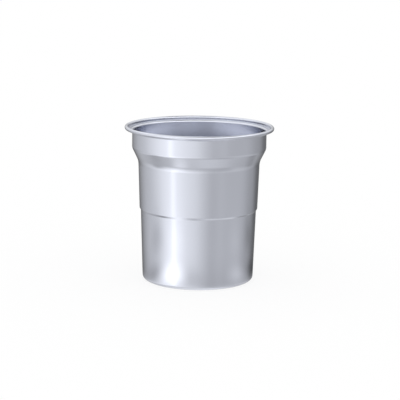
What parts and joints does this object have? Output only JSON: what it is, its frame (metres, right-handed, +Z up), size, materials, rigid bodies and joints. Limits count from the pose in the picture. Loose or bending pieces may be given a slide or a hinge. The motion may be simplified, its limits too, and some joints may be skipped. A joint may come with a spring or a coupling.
{
  "type": "deep drawn metal cup",
  "caption": "Round deep drawn sheet metal cup with a stepped, tapered body, a rounded shoulder, a straight collar and a flange with a curled edge.",
  "frame": {"origin": "centre of the underside of the base", "axes": "+Z up the axis of the cup, towards the mouth; X and Y are level, and alike"},
  "size_m": [0.094, 0.094, 0.0981],
  "materials": {
    "drawn_sheet": "satin, as drawn"
  },
  "bodies": {
    "root": {"cup": "drawn_sheet"}
  },
  "joints": []
}
